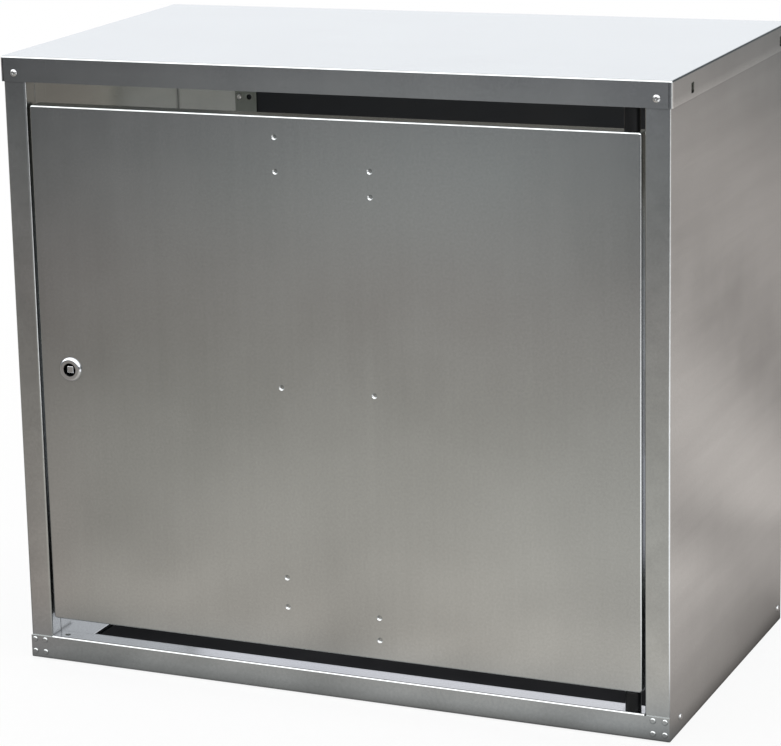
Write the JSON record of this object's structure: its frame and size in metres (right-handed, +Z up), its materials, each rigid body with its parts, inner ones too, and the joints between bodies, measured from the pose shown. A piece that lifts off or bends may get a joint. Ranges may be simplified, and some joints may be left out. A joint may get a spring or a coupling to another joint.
{
  "type": "gas cylinder cabinet",
  "caption": "Galvanised sheet-steel cabinet for gas cylinders: folded lid roof, pivot-hung door with cam lock, air gaps above and below the door, sunk floor with a rubber mat.",
  "frame": {"origin": "on the ground under the middle of the cabinet", "axes": "+X to the right seen from the front, +Y to the back, +Z up"},
  "size_m": [0.7044, 0.397, 0.642],
  "materials": {
    "galvanised_sheet": "bright hot-dip galvanised, fine zinc grain",
    "rivet_aluminium": "drawn, bright",
    "plated_steel": "zinc plated",
    "black_nylon": "moulded, matt",
    "black_coated_sheet": "matt powder coat",
    "black_rubber": "moulded, matt",
    "lock_chrome": "polished"
  },
  "bodies": {
    "cabinet": {"left_side_panel": "galvanised_sheet", "right_side_panel": "galvanised_sheet", "left_post_channel": "galvanised_sheet", "right_post_channel": "galvanised_sheet", "left_opening_strip": "galvanised_sheet", "right_opening_strip": "galvanised_sheet", "back_panel": "galvanised_sheet", "roof_cover": "galvanised_sheet", "header_rail": "galvanised_sheet", "base_front_rail": "galvanised_sheet", "floor_panel": "galvanised_sheet", "roof_front_rivets": "rivet_aluminium", "roof_rear_rivets": "rivet_aluminium", "base_rivets": "rivet_aluminium", "back_rivets": "rivet_aluminium", "header_rivets": "rivet_aluminium", "strip_rivets": "rivet_aluminium", "top_hinge_bolt": "plated_steel", "bottom_hinge_bolt": "plated_steel", "hinge_washers": "plated_steel", "hinge_nuts": "plated_steel", "top_hinge_bush": "black_nylon", "bottom_hinge_bush": "black_nylon", "service_cover": "black_coated_sheet", "floor_mat": "black_rubber", "hose_grommet": "black_rubber"},
    "door": {"door_panel": "galvanised_sheet", "door_stiffener": "galvanised_sheet", "top_pivot_plate": "galvanised_sheet", "bottom_pivot_plate": "galvanised_sheet", "lock_housing": "lock_chrome", "lock_nut": "plated_steel"},
    "lock_cylinder": {"lock_plug": "lock_chrome", "lock_cam": "plated_steel", "cam_screw": "plated_steel"}
  },
  "joints": [
    {"name": "door_hinge", "type": "hinge", "parent": "cabinet", "child": "door", "pos_m": [0.311, -0.187, 0.31925], "axis": [0, 0, 1], "range_deg": [0, 110]},
    {"name": "lock_turn", "type": "hinge", "parent": "door", "child": "lock_cylinder", "pos_m": [-0.288, -0.195, 0.31925], "axis": [0, 1, 0], "range_deg": [0, 90]}
  ]
}
